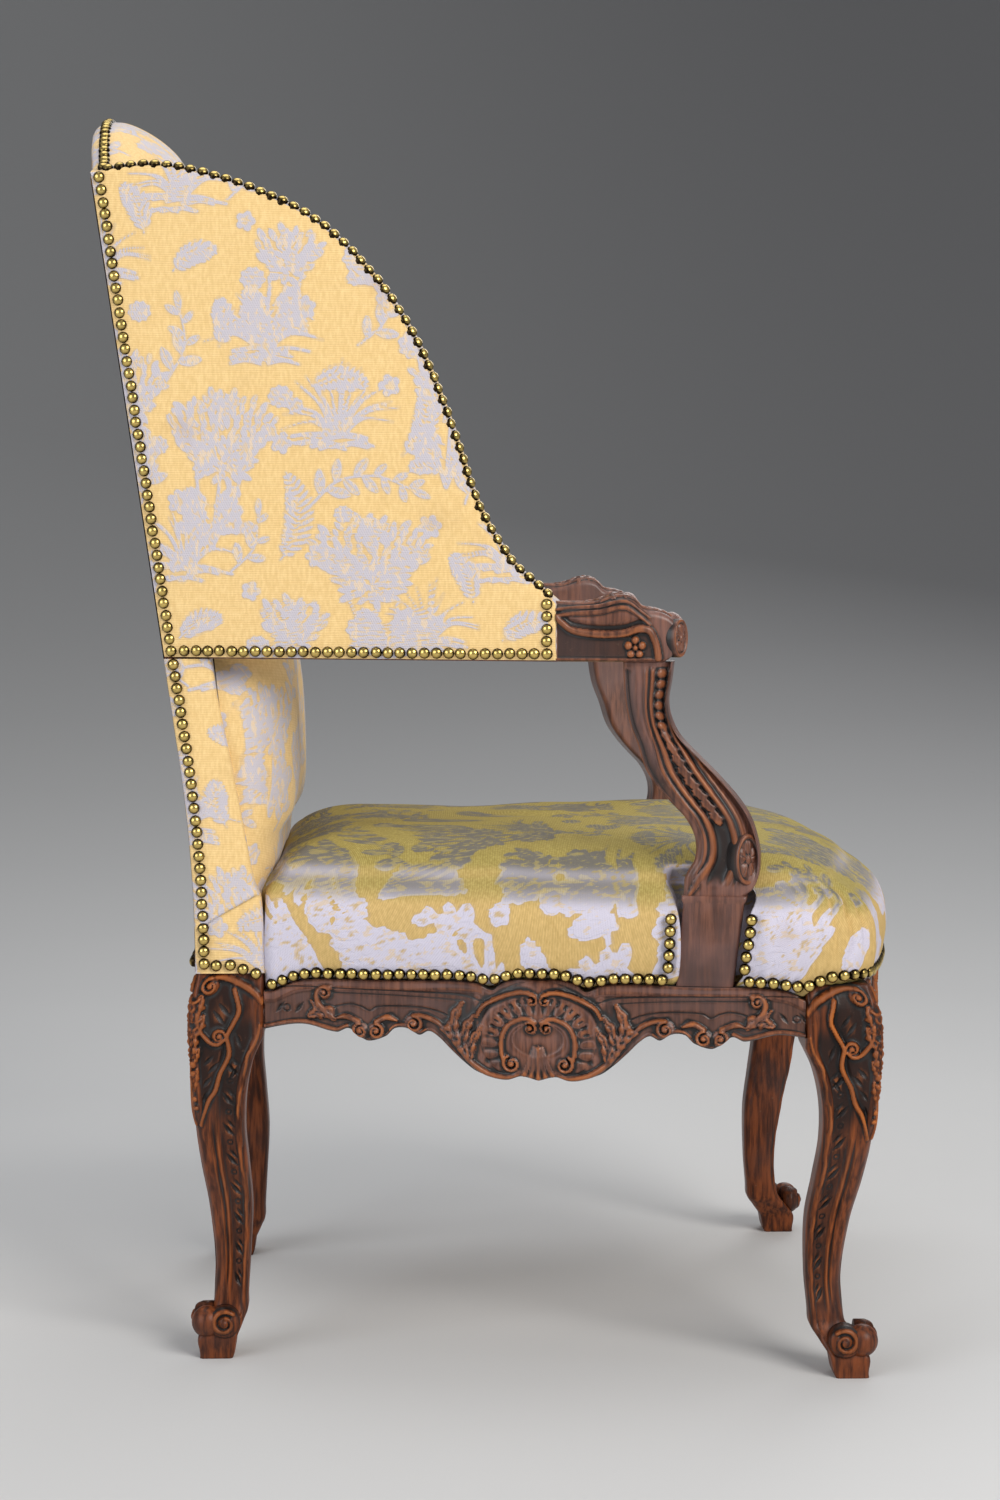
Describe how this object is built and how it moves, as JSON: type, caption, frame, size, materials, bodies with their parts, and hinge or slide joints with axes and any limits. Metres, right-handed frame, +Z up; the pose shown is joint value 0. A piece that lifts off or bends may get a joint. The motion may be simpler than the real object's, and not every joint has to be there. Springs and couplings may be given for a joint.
{
  "type": "wing armchair",
  "caption": "Upholstered wing armchair with a carved walnut frame: shell aprons, cabriole legs with rolled toes, scrolled open arms, raked back with an arched crest, brass nails.",
  "frame": {"origin": "bottom centre of the bounding box, on the floor", "axes": "+Z up, the chair faces -Y, +X is the sitter's left"},
  "size_m": [0.6228, 0.8096, 1.232],
  "materials": {
    "walnut": "waxed dark walnut, worn orange brown on the raised carving",
    "beech": "bare planed beech, hidden under the upholstery",
    "brocade": "woven satin damask, gold ground with pale lilac grey foliage",
    "hessian": "coarse jute hessian and webbing",
    "horsehair": "curled hair stuffing in a hessian case",
    "steel_wire": "coppered spring wire, dull"
  },
  "bodies": {
    "root": {"front_leg_right": "walnut", "front_leg_left": "walnut", "rear_leg_right": "walnut", "rear_leg_left": "walnut", "side_rail_right": "walnut", "side_rail_left": "walnut", "front_rail": "walnut", "rear_rail": "walnut", "corner_blocks": "beech", "lower_back_rail": "beech", "crest_rail": "beech", "arm_support_right": "walnut", "arm_support_left": "walnut", "arm_right": "walnut", "arm_left": "walnut", "wing_rail_right": "beech", "wing_rail_left": "beech", "seat_webbing": "hessian", "seat_springs": "steel_wire", "seat_hessian": "hessian", "seat_stuffing": "horsehair", "seat_cover": "brocade", "back_webbing": "hessian", "back_stuffing": "horsehair", "back_inside_cover": "brocade", "back_outside_cover": "brocade", "wing_stuffing_right": "horsehair", "wing_stuffing_left": "horsehair", "wing_inside_cover_right": "brocade", "wing_inside_cover_left": "brocade", "wing_outside_cover_right": "brocade", "wing_outside_cover_left": "brocade", "post_cover_right": "brocade", "post_cover_left": "brocade"}
  },
  "joints": []
}
